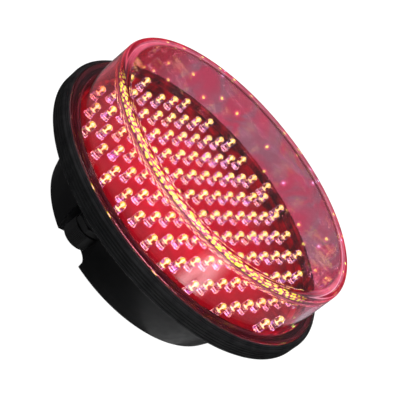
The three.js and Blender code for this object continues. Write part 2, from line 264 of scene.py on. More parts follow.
def math_node(tree, operation, first, second=None):
    """A Math node whose inputs are floats or sockets."""
    made = tree.nodes.new("ShaderNodeMath")
    made.operation = operation
    for socket, value in zip(made.inputs, (first, second)):
        if isinstance(value, float):
            socket.default_value = value
        elif value is not None:
            tree.links.new(value, socket)
    return made.outputs["Value"]


class Surface:
    """A node material that starts with a Principled shader and noise in object space."""

    def __init__(self, name):
        self.material = bpy.data.materials.new(name)
        self.material.use_nodes = True
        self.tree = self.material.node_tree
        self.shader = self.tree.nodes["Principled BSDF"]
        self.output = self.tree.nodes["Material Output"]
        self.place = self.node("ShaderNodeTexCoord").outputs["Object"]

    def node(self, kind, **settings):
        made = self.tree.nodes.new(kind)
        for key, value in settings.items():
            setattr(made, key, value)
        return made

    def link(self, source, target):
        self.tree.links.new(source, target)

    def feed(self, **sources):
        """Links sockets to the shader's inputs, with _ for a space in their names."""
        for key, source in sources.items():
            self.link(source, self.shader.inputs[key.replace("_", " ")])

    def constants(self, **values):
        """Sets the shader's inputs, with _ for a space in their names."""
        for key, value in values.items():
            self.shader.inputs[key.replace("_", " ")].default_value = value
        return self

    def noise(self, scale, detail, distortion=0.0, place=None):
        made = self.node("ShaderNodeTexNoise")
        self.link(place or self.place, made.inputs["Vector"])
        made.inputs["Scale"].default_value = scale
        made.inputs["Detail"].default_value = detail
        made.inputs["Distortion"].default_value = distortion
        return made.outputs["Fac"]

    def cells(self, across, up, scale, randomness):
        """The outputs of a flat Voronoi texture over two values."""
        place = self.node("ShaderNodeCombineXYZ")
        self.link(across, place.inputs["X"])
        self.link(up, place.inputs["Y"])
        made = self.node("ShaderNodeTexVoronoi", voronoi_dimensions="2D")
        self.link(place.outputs["Vector"], made.inputs["Vector"])
        made.inputs["Scale"].default_value = scale
        made.inputs["Randomness"].default_value = randomness
        return made.outputs

    def blend(self, factor, dark, light, low=0.35, high=0.65):
        """Dark up to a factor of low, light from high."""
        ramp = self.node("ShaderNodeValToRGB")
        ramp.color_ramp.elements[0].position = low
        ramp.color_ramp.elements[1].position = high
        ramp.color_ramp.elements[0].color = (*dark, 1)
        ramp.color_ramp.elements[1].color = (*light, 1)
        self.link(factor, ramp.inputs["Fac"])
        return ramp.outputs["Color"]

    def span(self, factor, low, high):
        """Spreads the usual range of a noise over low to high."""
        spread = self.node("ShaderNodeMapRange")
        spread.inputs["From Min"].default_value = 0.3
        spread.inputs["From Max"].default_value = 0.7
        spread.inputs["To Min"].default_value = low
        spread.inputs["To Max"].default_value = high
        self.link(factor, spread.inputs["Value"])
        return spread.outputs["Result"]

    def step(self, value, start, end):
        """0 at start, 1 at end and beyond."""
        ease = self.node("ShaderNodeMapRange", interpolation_type="SMOOTHSTEP")
        ease.inputs["From Min"].default_value = start
        ease.inputs["From Max"].default_value = end
        self.link(value, ease.inputs["Value"])
        return ease.outputs["Result"]

    def maths(self, operation, first, second=None):
        return math_node(self.tree, operation, first, second)

    def product(self, first, *others):
        for other in others:
            first = self.maths("MULTIPLY", first, other)
        return first

    def mixed(self, factor, first, second):
        """Colours: first where the factor is 0, second where it is 1."""
        made = self.node("ShaderNodeMix", data_type="RGBA")
        self.link(factor, made.inputs[0])
        self.link(first, made.inputs[6])
        self.link(second, made.inputs[7])
        return made.outputs[2]

    def cylindrical(self):
        """East, north, height and radius in metres, in object space."""
        split = self.node("ShaderNodeSeparateXYZ")
        self.link(self.place, split.inputs["Vector"])
        east, north, height = (split.outputs[axis] for axis in "XYZ")
        squares = self.maths("ADD", self.product(east, east), self.product(north, north))
        return east, north, height, self.maths("SQRT", squares)

    def towards(self, east, north, direction):
        """How far a point lies in a horizontal direction."""
        return self.maths("ADD", self.product(east, direction[0]), self.product(north, direction[1]))

    def rough(self, scale, detail, low, high):
        """Uneven gloss."""
        self.feed(Roughness=self.span(self.noise(scale, detail), low, high))

    def bump(self, scale, detail, strength, depth):
        """A fine grain of a depth in millimetres."""
        made = self.node("ShaderNodeBump")
        made.inputs["Strength"].default_value = strength
        made.inputs["Distance"].default_value = depth * MM
        self.link(self.noise(scale, detail), made.inputs["Height"])
        self.feed(Normal=made.outputs["Normal"])

    def clear_where(self, factor, tint=(1, 1, 1)):
        """Tinted clear where the factor is 1, the shader elsewhere."""
        clear = self.node("ShaderNodeBsdfTransparent")
        clear.inputs["Color"].default_value = (*tint, 1)
        choose = self.node("ShaderNodeMixShader")
        self.link(factor, choose.inputs["Fac"])
        self.link(self.shader.outputs["BSDF"], choose.inputs[1])
        self.link(clear.outputs["BSDF"], choose.inputs[2])
        self.link(choose.outputs["Shader"], self.output.inputs["Surface"])

    def pass_lamps(self, tint):
        """Lamps reach what lies behind clear plastic."""
        self.clear_where(self.node("ShaderNodeLightPath").outputs["Is Shadow Ray"], tint)


def grained(name, dark, light, rough, grain, depth, patch=60, **constants):
    """A solid material: patches of two shades, uneven gloss and a fine grain."""
    made = Surface(name)
    made.feed(Base_Color=made.blend(made.noise(patch, 6.0), dark, light))
    made.rough(patch * 3.1, 5.0, *rough)
    made.bump(grain, 3.0, 0.6, depth)
    return made.constants(**constants).material


def clear_glass():
    """The tube of the fuse, with slight waves."""
    made = Surface("fuse_glass")
    made.feed(Base_Color=made.blend(made.noise(35, 3.0), (0.85, 0.9, 0.88), (0.95, 0.97, 0.96)))
    made.rough(90, 5.0, 0.0, 0.04)
    made.bump(300, 2.0, 0.5, 0.02)
    made.pass_lamps((0.95, 0.97, 0.96))
    return made.constants(Transmission_Weight=1.0, IOR=1.5).material


FRONT_SIDE = (0.353, -0.935)  # where the strand of light lies in the cap's corner
LEFT_SIDE = (-0.935, -0.353)  # where the cap's wall is painted a darker crimson tint

# Where each zone of the cap's painted tint and painted light starts and where it is full, in metres
WALL_RADIUS = (0.0915, 0.0945)
WALL_HEIGHT = (0.0562, 0.057)
REAR_NORTH = (-0.035, 0.03)
LEFT_REACH = (0.068, 0.09)
FOOT_HEIGHT = (0.067, 0.058)
SPARK_HEIGHT = (0.087, 0.085)
TOP_HEIGHT = (0.0878, 0.0895)
AWAY_REACH = (0.045, 0.02)
PINK_RADIUS = (0.0893, 0.0912)
CORNER_RADIUS = (0.0932, 0.0946)
# where the painted red glow lies, low on the rear wall
REAR_GLOW_INNER, REAR_GLOW_OUTER = (0.0925, 0.0935), (0.0984, 0.098)
REAR_GLOW_HEIGHT = (0.0595, 0.057)
REAR_GLOW_NORTH = (-0.035, 0.0)
STRAND_RADIUS = (0.0944, 0.0951)
STRAND_HEIGHT = (0.0882, 0.0888)
STRAND_REACH = (0.046, 0.066)

DASHES_PER_RADIAN = 26.0
THREADS_PER_METRE = 520.0
TWIST_PER_RADIAN = 9.0
DASH_RANDOMNESS = 0.8
SPARK_RADIUS = 0.095  # turns an angle into a length along the wall
SPARKS_PER_METRE = 70.0


def strand_of_light(made, glow, cloud, angle, height, radius):
    """Long yellow dashes with violet edges along the front corner: the images of the LEDs in it."""
    along = made.product(angle, DASHES_PER_RADIAN)
    across = made.product(made.maths("SUBTRACT", radius, height), THREADS_PER_METRE)
    twisted = made.maths("ADD", across, made.product(angle, TWIST_PER_RADIAN))
    distance = made.cells(along, twisted, 1.0, DASH_RANDOMNESS)["Distance"]
    violet = made.blend(cloud, (0.3, 0.008, 0.12), (0.75, 0.05, 0.5))
    dash = made.blend(distance, (2.3, 2.7, 0.2), (1.6, 1.5, 0.03), 0.12, 0.34)
    edged = made.mixed(made.step(distance, 0.34, 0.42), dash, violet)
    return made.mixed(made.step(distance, 0.48, 0.58), edged, glow)


def wall_sparks(made, glow, angle, height, zone):
    """Small gold and lilac spots in the rear wall: the images of the LEDs in it."""
    spots = made.cells(made.product(angle, SPARK_RADIUS), height, SPARKS_PER_METRE, 1.0)
    chance = made.node("ShaderNodeSeparateColor")
    made.link(spots["Color"], chance.inputs["Color"])
    distance = spots["Distance"]
    gold = made.blend(distance, (3.4, 8.5, 0.9), (0.7, 0.12, 0.3), 0.035, 0.085)
    lilac = made.blend(distance, (2.6, 5.0, 6.5), (0.8, 0.12, 0.5), 0.03, 0.075)
    spark = made.mixed(made.step(chance.outputs["Green"], 0.5, 0.6), gold, lilac)
    chosen = made.product(zone, made.step(chance.outputs["Red"], 0.45, 0.5))
    return made.mixed(made.product(chosen, made.step(distance, 0.22, 0.08)), glow, spark)


def lens_plastic():
    """Red-tinted clear plastic, with the light of the LEDs painted in its wall and corner, and a painted
    tint for the light through it: paler in patches on the rear wall, darker crimson on the left side and
    in the corner.
    """
    made = Surface("red_lens")
    east, north, height, radius = made.cylindrical()
    angle = made.maths("ARCTAN2", north, east)
    front = made.towards(east, north, FRONT_SIDE)
    wall = made.product(made.step(radius, *WALL_RADIUS), made.step(height, *WALL_HEIGHT))
    rear = made.product(wall, made.step(north, *REAR_NORTH))
    left = made.product(wall, made.step(made.towards(east, north, LEFT_SIDE), *LEFT_REACH))
    foot = made.product(wall, made.step(height, *FOOT_HEIGHT))
    top = made.product(made.step(height, *TOP_HEIGHT), made.step(front, *AWAY_REACH))
    rim = made.product(top, made.step(radius, *PINK_RADIUS))
    corner = made.product(top, made.step(radius, *CORNER_RADIUS))
    rear_red_glow_zone = made.product(
        made.step(radius, *REAR_GLOW_INNER), made.step(radius, *REAR_GLOW_OUTER),
        made.step(height, *REAR_GLOW_HEIGHT), made.step(north, *REAR_GLOW_NORTH),
    )
    strand_zone = made.product(
        made.step(radius, *STRAND_RADIUS), made.step(height, *STRAND_HEIGHT),
        made.step(front, *STRAND_REACH),
    )

    cloud = made.noise(42, 7.0, 1.2)
    # painted tint for the light through the cap: paler grey-pink patches on the rear wall, crimson on the
    # left side, deeper red in the corner
    face = made.blend(made.noise(20, 3.0), (0.56, 0.19, 0.26), (0.62, 0.23, 0.3))
    side = made.blend(made.noise(30, 4.0), (0.58, 0.15, 0.22), (0.66, 0.21, 0.29))
    patches = made.blend(cloud, (0.66, 0.66, 0.74), (0.97, 0.32, 0.5), 0.42, 0.58)
    crimson = made.blend(cloud, (0.6, 0.055, 0.09), (0.7, 0.11, 0.17))
    deep = made.blend(cloud, (0.55, 0.04, 0.08), (0.7, 0.1, 0.16))
    tint = made.mixed(rear, made.mixed(wall, face, side), patches)
    tint = made.mixed(corner, made.mixed(left, tint, crimson), deep)

    # painted light of the LEDs: a glow at the wall's foot, a red glow low on the rear wall, pink along the
    # far rim, crimson in the far corner
    dark = made.blend(cloud, (0, 0, 0), (0.001, 0, 0))
    foot_glow = made.blend(cloud, (0.01, 0.0003, 0.001), (0.07, 0.002, 0.005), 0.4, 0.62)
    rear_red_glow = made.blend(made.noise(75, 6.0, 0.8), (0.03, 0.0004, 0.002), (0.7, 0.012, 0.045), 0.42, 0.62)
    pink = made.blend(cloud, (0.8, 0.14, 0.25), (1.1, 0.27, 0.4))
    edge = made.blend(cloud, (0.5, 0.006, 0.03), (0.75, 0.02, 0.06))
    glow = made.mixed(foot, dark, foot_glow)
    spark_zone = made.product(rear, made.step(height, *SPARK_HEIGHT))
    glow = wall_sparks(made, glow, angle, height, spark_zone)
    glow = made.mixed(rear_red_glow_zone, glow, rear_red_glow)
    glow = made.mixed(rim, glow, pink)
    glow = made.mixed(corner, glow, edge)
    strand = strand_of_light(made, glow, cloud, angle, height, radius)

    made.feed(Base_Color=tint, Emission_Color=made.mixed(strand_zone, glow, strand))
    made.rough(90, 5.0, 0.0, 0.03)
    made.bump(25, 2.0, 0.5, 0.15)
    made.pass_lamps((0.82, 0.6, 0.64))
    return made.constants(Transmission_Weight=1.0, IOR=1.585, Emission_Strength=0.5).material


BRIGHT_FIELD = (0.04, 0.085)  # radii in metres between which the board's painted pool of LED light fades
FRONT_BRIGHTENING = -0.13  # moves the painted shade at the edge outwards on the front side
PATCH_WIDTH = 0.08  # moves it in patches, in metres
# where the painted shade at the board's edge starts and where it is full, in metres
DARK_EDGE = (0.107, 0.13)


def solder_mask():
    """The red face of the LED board, with a painted pool of LED light in the middle and painted shade
    towards the edge.
    """
    made = Surface("board_red")
    east, north, _, radius = made.cylindrical()
    patch = made.noise(60, 6.0, 0.6)
    # painted pool of LED light: brighter red in the middle, fading outwards
    middle = made.blend(patch, (0.4, 0.013, 0.045), (0.52, 0.018, 0.062))
    outer = made.blend(patch, (0.2, 0.005, 0.018), (0.3, 0.009, 0.032))
    bright = made.mixed(made.step(radius, *BRIGHT_FIELD), middle, outer)
    # painted shade at the edge, in patches, reaching further in away from the front side
    edge = made.blend(patch, (0.04, 0.0006, 0.002), (0.26, 0.006, 0.016), 0.42, 0.58)
    shift = made.product(made.towards(east, north, FRONT_SIDE), FRONT_BRIGHTENING)
    reach = made.maths("ADD", made.maths("ADD", radius, shift), made.product(patch, PATCH_WIDTH))
    made.feed(Base_Color=made.mixed(made.step(reach, *DARK_EDGE), bright, edge))
    made.rough(140, 5.0, 0.35, 0.5)
    made.bump(900, 3.0, 0.6, 0.02)
    return made.constants(Specular_IOR_Level=0.05).material


STREAK_STRETCH = (1, 1, 0.22)  # makes the streaks upright
FLANGE_LIGHT = (1.5, 0.9)  # heights over the LED's foot, in millimetres
DOME_SHADE = (5.5, 8.5)


def lit_epoxy():
    """Clear epoxy with painted upright lilac streaks of light on its lower part, most on the flange."""
    made = Surface("clear_epoxy")
    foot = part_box("led_row_01")[0].z
    height = made.cylindrical()[2]
    # painted light: upright lilac streaks for the lit edges of the body, more on the flange, less on the
    # dome
    upright = made.node("ShaderNodeVectorMath", operation="MULTIPLY")
    made.link(made.place, upright.inputs[0])
    upright.inputs[1].default_value = STREAK_STRETCH
    flange = made.step(height, *(foot + rise * MM for rise in FLANGE_LIGHT))
    dome = made.step(height, *(foot + rise * MM for rise in DOME_SHADE))
    light = made.noise(900, 2.0, place=upright.outputs["Vector"])
    light = made.maths("ADD", light, made.product(flange, 0.035))
    light = made.maths("ADD", light, made.product(dome, -0.1))
    made.feed(
        Base_Color=made.blend(made.noise(35, 3.0), (0.95, 0.88, 0.9), (0.99, 0.95, 0.96)),
        Emission_Color=made.blend(light, (0, 0, 0), (0.6, 0.8, 2.2), 0.56, 0.68),
    )
    made.rough(90, 5.0, 0.01, 0.05)
    made.bump(400, 2.0, 0.5, 0.03)
    made.pass_lamps((0.97, 0.93, 0.93))
    return made.constants(Transmission_Weight=1.0, IOR=1.54, Emission_Strength=1.1).material


def lit_metal():
    """The leads and cup inside a lit LED: bright metal, with the light of the die painted on it as a glow.
    """
    made = Surface("lead_metal")
    spots = made.noise(1100, 2.0)
    # painted glow of the die's light, in spots
    made.feed(
        Base_Color=made.blend(spots, (0.2, 0.12, 0.16), (0.5, 0.45, 0.48)),
        Emission_Color=made.blend(spots, (0.1, 0.01, 0.1), (1.0, 2.2, 0.5), 0.5, 0.6),
    )
    made.rough(1300, 3.0, 0.18, 0.34)
    made.bump(2600, 3.0, 0.6, 0.01)
    return made.constants(Metallic=0.5, Emission_Strength=1.0).material


def halo():
    """The yellow light round the white core of a lit LED: thin, so that the core shows through."""
    made = Surface("led_halo")
    shade = made.blend(made.noise(900, 2.0), (0.3, 0.64, 0.005), (0.5, 1.15, 0.02), 0.42, 0.58)
    made.feed(
        Base_Color=shade, Emission_Color=shade, Alpha=made.span(made.noise(1200, 2.0), 0.5, 0.78)
    )
    made.rough(1800, 2.0, 0.25, 0.4)
    made.bump(3000, 2.0, 0.3, 0.02)
    return made.constants(Emission_Strength=3.6).material


def lit_nylon():
    """The black clamp ring, with the red light of the LEDs painted on it in patches, in its colour and as
    a glow.
    """
    made = Surface("lit_nylon")
    patch = made.noise(60, 6.0, 0.8)
    made.feed(
        Base_Color=made.blend(patch, (0.006, 0.0005, 0.001), (0.2, 0.004, 0.01)),
        Emission_Color=made.blend(patch, (0.02, 0.0003, 0.001), (0.5, 0.006, 0.022), 0.4, 0.64),
    )
    made.rough(180, 5.0, 0.5, 0.65)
    made.bump(2200, 3.0, 0.6, 0.03)
    return made.constants(Emission_Strength=1.0, Specular_IOR_Level=0.0).material


def white_glow():
    """The white-hot middle of a lit LED."""
    made = Surface("led_glow")
    shade = made.blend(made.noise(2500, 2.0), (0.9, 1.0, 0.5), (1.0, 1.0, 1.0))
    made.feed(Base_Color=shade, Emission_Color=shade)
    made.rough(1800, 2.0, 0.25, 0.4)
    made.bump(3000, 2.0, 0.3, 0.02)
    return made.constants(Emission_Strength=11.0).material


black_plastic = grained(
    "black_plastic", (0.005, 0.005, 0.006), (0.01, 0.01, 0.011), (0.36, 0.5), 1700, 0.03,
    Specular_IOR_Level=0.16,
)
pale_plastic = grained(  # the rim frame, which the lens flange covers: paler and glossier than the other black plastic
    "pale_plastic", (0.035, 0.03, 0.03), (0.065, 0.056, 0.056), (0.45, 0.6), 1700, 0.03,
    Specular_IOR_Level=0.3,
)
black_rubber = grained(
    "black_rubber", (0.008, 0.008, 0.009), (0.016, 0.016, 0.017), (0.5, 0.72), 1300, 0.05,
    patch=120, Specular_IOR_Level=0.14,
)
black_nylon = grained(
    "black_nylon", (0.014, 0.014, 0.015), (0.026, 0.026, 0.027), (0.38, 0.55), 2200, 0.03,
    Specular_IOR_Level=0.25,
)
# the clamp ring's material, with painted red light of the LEDs
clamp_nylon = lit_nylon()
red_lens = lens_plastic()
clear_epoxy = lit_epoxy()
led_halo = halo()
board_red = solder_mask()
led_glow = white_glow()
lead_metal = lit_metal()
board_green = grained(
    "board_green", (0.02, 0.12, 0.05), (0.04, 0.19, 0.085), (0.3, 0.45), 1200, 0.03,
)
steel = grained("steel", (0.45, 0.45, 0.47), (0.68, 0.68, 0.7), (0.22, 0.4), 2400, 0.02, Metallic=1.0)
ferrite = grained("ferrite", (0.03, 0.03, 0.034), (0.055, 0.055, 0.06), (0.5, 0.7), 1500, 0.08)
winding_tape = grained("winding_tape", (0.6, 0.4, 0.05), (0.75, 0.55, 0.1), (0.3, 0.5), 700, 0.05)
capacitor_sleeve = grained(
    "capacitor_sleeve", (0.015, 0.02, 0.11), (0.025, 0.035, 0.16), (0.2, 0.35), 600, 0.03,
)
film_yellow = grained("film_yellow", (0.5, 0.31, 0.02), (0.66, 0.43, 0.04), (0.22, 0.4), 500, 0.04)
varistor_blue = grained("varistor_blue", (0.02, 0.13, 0.4), (0.04, 0.19, 0.52), (0.25, 0.4), 450, 0.06)
fuse_glass = clear_glass()
aluminium = grained(
    "aluminium", (0.6, 0.6, 0.62), (0.78, 0.78, 0.8), (0.3, 0.48), 1900, 0.02, Metallic=1.0,
)
terminal_green = grained("terminal_green", (0.02, 0.24, 0.06), (0.04, 0.35, 0.1), (0.35, 0.5), 900, 0.04)
wire_red = grained("wire_red", (0.38, 0.015, 0.01), (0.5, 0.03, 0.02), (0.35, 0.5), 800, 0.03)
wire_black = grained("wire_black", (0.008, 0.008, 0.009), (0.015, 0.015, 0.016), (0.35, 0.5), 800, 0.03)

MATERIALS = {
    "black_plastic": black_plastic, "black_rubber": black_rubber, "black_nylon": black_nylon,
    "red_lens": red_lens, "clear_epoxy": clear_epoxy, "board_red": board_red,
    "board_green": board_green, "steel": steel, "ferrite": ferrite, "winding_tape": winding_tape,
    "capacitor_sleeve": capacitor_sleeve, "film_yellow": film_yellow,
    "varistor_blue": varistor_blue, "fuse_glass": fuse_glass, "aluminium": aluminium,
    "terminal_green": terminal_green, "wire_red": wire_red, "wire_black": wire_black,
}


# Housing


def cone(height):
    """The outer radius of the can at a height."""
    return CONE_RADIUS + CONE_SLOPE * height


def rear_can():
    """The conical can in one piece with the cup of the gland recess."""
    outline = rounded([
        (0, FOOT_STEP, 0),
        (FOOT_RADIUS - 2 * FOOT_STEP, FOOT_STEP, 0.8),
        (FOOT_RADIUS, 0, 0.8),
        (cone(0) + 0.2, 0, 3.4),
        (cone(CAN_TOP), CAN_TOP, 0.5),
        (cone(CAN_TOP) - WALL, CAN_TOP, 0.3),
        (cone(CAN_FLOOR) - WALL, CAN_FLOOR, 1.5),
        (0, CAN_FLOOR, 0),
    ])
    gland = gland_centre()
    can = made_object(
        "rear_can", turned(outline), black_plastic, "module",
        ["rear_housing", "gland_pocket"],
    )
    cup = cutter(cylinder(RECESS_RADIUS + WALL, 1, BOSS_TOP), SMALL, gland)
    envelope = cutter([(0, 0.3), (cone(0) - 0.4, 0.3), (cone(CAN_TOP) - 0.5, CAN_TOP), (0, CAN_TOP)], FINE)
    combine(cup, envelope, "INTERSECT")
    combine(can, cup, "UNION")
    recess = rounded([
        (0, -2, 0),
        (RECESS_RADIUS + 1.2, -2, 0),
        (RECESS_RADIUS + 1.2, -0.6, 0),
        (RECESS_RADIUS, 0.7, 0.6),
        (RECESS_RADIUS, RECESS_TOP, 0.8),
        (0, RECESS_TOP, 0),
    ])
    combine(can, cutter(recess, SMALL, gland), "DIFFERENCE")
    entry = cylinder(NECK_HOLE, RECESS_TOP - 2, BOSS_TOP - 3)[:3]
    entry += [(SUPPLY_HOLE, BOSS_TOP - 3), (SUPPLY_HOLE, BOSS_TOP + 2), (0, BOSS_TOP + 2)]
    combine(can, cutter(entry, SMALL, gland), "DIFFERENCE")
    for i in (1, 2, 3, 4):
        low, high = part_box(f"driver_screw_{i}")
        centre = ((low.x + high.x) / 2 / MM, (low.y + high.y) / 2 / MM)
        boss = cylinder(SCREW_BOSS_RADIUS, CAN_FLOOR - 1, SCREW_BOSS_TOP)
        pilot = cylinder(1.5, CAN_FLOOR + 0.2, SCREW_BOSS_TOP + 1)
        combine(can, cutter(boss, 48, centre), "UNION")
        combine(can, cutter(pilot, 24, centre), "DIFFERENCE")
    can.data.shade_smooth()
    can.data.set_sharp_from_angle(angle=SHARP)
    return can


def rim_ring():
    """The frame between the can and the lens."""
    outline = rounded([
        (SKIRT_OUTER, SKIRT_LOW, 0.4),
        (SKIRT_OUTER, LEDGE_LOW, 0.1),
        (LEDGE_RADIUS, LEDGE_LOW, 0.3),
        (LEDGE_RADIUS, RIM_LOW, 0.2),
        (RIM_RADIUS, RIM_LOW, 0.5),
        (RIM_RADIUS, RIM_TOP, 0.5),
        (FLANGE_RADIUS, RIM_TOP, 0.2),
        (FLANGE_RADIUS, FLANGE_TOP, 0.3),
        (SEAL_RADIUS + SEAL_GROOVE, FLANGE_TOP, 0.2),
        (SEAL_RADIUS + SEAL_GROOVE, GROOVE_LOW, 0.3),
        (SEAL_RADIUS - SEAL_GROOVE, GROOVE_LOW, 0.3),
        (SEAL_RADIUS - SEAL_GROOVE, FLANGE_TOP, 0.2),
        (LEDGE_RADIUS, FLANGE_TOP, 0.3),
        (LEDGE_RADIUS, LEDGE_TOP, 0.2),
        (SKIRT_INNER, LEDGE_TOP, 0.4),
        (SKIRT_INNER, SKIRT_LOW, 0.4),
    ])
    return made_object(
        "rim_ring", turned(outline), pale_plastic, "module", ["rim_frame"]
    )


def gasket_ring():
    """Rubber channel with fine rounded ridges outside and two grooves near its front lip."""
    lip, wall, groove = LEDGE_RADIUS + GAP, LENS_FLANGE_RADIUS + GAP, RIM_RADIUS + GAP
    chamfer = 0.9
    inside = rounded([
        (wall + 1.6, GASKET_TOP, 0.5),
        (wall, GASKET_TOP, 0.35),
        (wall, RIM_TOP + GAP, 0.2),
        (groove, RIM_TOP + GAP, 0.2),
        (groove, RIM_LOW - GAP, 0.2),
        (lip, RIM_LOW - GAP, 0.2),
        (lip, GASKET_LOW, 0.4),
        (GASKET_RADIUS - chamfer, GASKET_LOW, 0.5),
    ])
    outside = []
    steps = 72
    for i in range(steps + 1):
        part = i / steps
        height = GASKET_LOW + chamfer + (GASKET_SHOULDER - GASKET_LOW - chamfer) * part
        ridge = abs(math.sin(math.pi * part * RIDGE_COUNT)) ** 0.6
        outside.append((GASKET_RADIUS - RIDGE_DEPTH + RIDGE_DEPTH * ridge, height))
    grooves = ((0.6, 0.3), (0.95, 0.2), (1.2, 0.55), (1.35, 1.2), (1.7, 1.15), (1.95, 1.5))
    front = [(GASKET_RADIUS - inset, GASKET_SHOULDER + rise) for inset, rise in grooves]
    return made_object(
        "gasket_ring", turned(inside + outside + front), black_rubber, "module",
        ["mounting_gasket"],
    )


def lens_cap():
    """The clear cap: a flat front, a rounded corner, a slightly flared wall and a flange."""
    flat = LENS_TOP - LENS_FACE
    outline = rounded([
        (0, LENS_TOP, 0),
        (LENS_TOP_RADIUS, LENS_TOP, 2.7),
        (LENS_RADIUS, LENS_FLANGE_TOP, 0.6),
        (LENS_FLANGE_RADIUS, LENS_FLANGE_TOP, 0.6),
        (LENS_FLANGE_RADIUS, LENS_FLANGE_LOW, 0.2),
        (LENS_MOUTH, LENS_FLANGE_LOW, 0.3),
        (LENS_INNER, flat, 5),
        (0, flat, 0),
    ], steps=10)
    return made_object("lens_cap", turned(outline), red_lens, "module", ["lens"])


def board_plate():
    """The LED board, with two holes for the leads from the driver board."""
    plate = turned(rounded([
        (0, BOARD_LOW, 0),
        (BOARD_RADIUS, BOARD_LOW, 0.2),
        (BOARD_RADIUS, BOARD_TOP, 0.2),
        (0, BOARD_TOP, 0),
    ]))
    piece = made_object("board_plate", plate, board_red, "module", ["led_board"])
    hole = cylinder(LEAD_HOLE, BOARD_LOW - 1, BOARD_TOP + 1)
    for place in (-PITCH / 2, PITCH / 2):
        combine(piece, cutter(hole, 32, (place, place)), "DIFFERENCE")
    piece.data.set_sharp_from_angle(angle=SHARP)
    return piece


def clamp_ring():
    """The ring that holds the LED board down."""
    outline = rounded([
        (BOARD_RADIUS - 2, BOARD_TOP + GAP, 0.2),
        (BOARD_RADIUS + 0.8, BOARD_TOP + GAP, 0.2),
        (BOARD_RADIUS + 0.8, FLANGE_TOP, 0.4),
        (BOARD_RADIUS - 1.2, FLANGE_TOP, 0.8),
    ])
    return made_object(
        "clamp_ring", turned(outline), clamp_nylon, "module", ["retaining_ring"]
    )


def o_ring():
    """The seal under the lens flange."""
    sides = 16
    angles = [TAU * i / sides for i in range(sides)]
    outline = [
        (SEAL_RADIUS + SEAL_SECTION * math.cos(angle), SEAL_MIDDLE + SEAL_SECTION * math.sin(angle))
        for angle in angles
    ]
    return made_object("o_ring", turned(outline), black_rubber, "module", ["lens_seal"])


# LEDs

LED_FLANGE = 2.9
LED_BODY = 2.5
LED_HEIGHT = 10.6
LED_INNER_SIDES = 16
CUP_LOW = 3.2
CUP_HIGH = 4.9
LEAD = 0.5
WIRE_LEAD = 3.1  # height of the lead that carries the bond wire


def flange_flat(angle, radius, height):
    """The flat on the cathode side of the flange."""
    if radius < LED_BODY + 0.1:
        return radius
    facing = math.cos(angle - math.pi)
    return min(radius, 2.55 / facing) if facing > 0.1 else radius


def led_clear(solid, x, y, low):
    """The epoxy: a flange, a cylinder and a dome."""
    dome_low = LED_HEIGHT - LED_BODY
    outline = [
        (0, low),
        (LED_FLANGE - 0.12, low),
        (LED_FLANGE, low + 0.12),
        (LED_FLANGE, low + 0.88),
        (LED_FLANGE - 0.12, low + 1),
        (LED_BODY + 0.12, low + 1),
        (LED_BODY, low + 1.12),
    ]
    steps = 9
    for i in range(steps):
        angle = math.pi / 2 * i / steps
        outline.append((LED_BODY * math.cos(angle), low + dome_low + LED_BODY * math.sin(angle)))
    outline.append((0, low + LED_HEIGHT))
    turned(outline, LED_SIDES, flange_flat, (x, y), solid)


def turned_up(outline, solid, x, y, low):
    """An outline inside an LED, with heights from the LED's foot."""
    turned([(radius, low + height) for radius, height in outline], LED_INNER_SIDES, None, (x, y), solid)


def led_frame(solid, x, y, low):
    """Two leads and the cup that holds the die."""
    cup = [
        (0, CUP_LOW), (0.6, CUP_LOW), (1.05, CUP_LOW + 0.9), (1.3, CUP_HIGH), (1.18, CUP_HIGH),
        (0.9, CUP_LOW + 0.8), (0.5, CUP_LOW + 0.5), (0, CUP_LOW + 0.5),
    ]
    turned_up(cup, solid, x, y, low)
    cup_lead = CUP_LOW + 0.2
    block(solid, (LEAD, LEAD, cup_lead), (x - 1.1, y, low + cup_lead / 2))
    block(solid, (0.9, LEAD, 0.4), (x - 0.9, y, low + cup_lead))
    block(solid, (LEAD, LEAD, WIRE_LEAD), (x + 1.5, y, low + WIRE_LEAD / 2))
    block(solid, (0.7, 0.8, 0.35), (x + 1.5, y, low + WIRE_LEAD))


def led_core(solid, x, y, low):
    """The white middle of the light: a disc over the die, a thin beam, a spot under the dome, and a
    thin ring in the flange."""
    beam = [
        (0, 4.65), (0.8, 4.7), (0.98, 4.9), (0.95, 5.15), (0.4, 5.35), (0.2, 5.8), (0.18, 6.6),
        (0.22, 7.4), (0.45, 7.8), (0.62, 8.3), (0.6, 8.9), (0.4, 9.35), (0, 9.5),
    ]
    ring = [(1.85, 0.8), (1.95, 0.7), (2.05, 0.8), (1.95, 0.9)]
    for outline in (beam, ring):
        turned_up(outline, solid, x, y, low)


def led_shell(solid, x, y, low):
    """The yellow light round the core: round the disc, and in a cap under the dome."""
    outline = [
        (0, 4.35), (0.9, 4.4), (1.2, 4.7), (1.22, 5.2), (0.85, 5.5), (0.42, 5.75), (0.34, 6.3),
        (0.34, 7.3), (0.6, 8.0), (1.05, 8.05), (1.25, 8.2), (1.3, 8.5), (1.18, 9.0), (0.85, 9.55),
        (0.45, 9.85), (0, 9.95),
    ]
    turned_up(outline, solid, x, y, low)


def led_places(node):
    """The middle of each LED in a CAD row, and the height of the row's underside, in millimetres."""
    low, high = (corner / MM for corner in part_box(node))
    middle = (low + high) / 2
    size = high - low
    along = Vector((1, 0)) if size.x > size.y else Vector((0, 1))
    gap = PAIR_GAP if "pair" in node else PITCH
    count = round((max(size.x, size.y) - LED_SOLID_WIDTH) / gap) + 1
    centres = [middle.xy + along * gap * (i - (count - 1) / 2) for i in range(count)]
    return centres, low.z


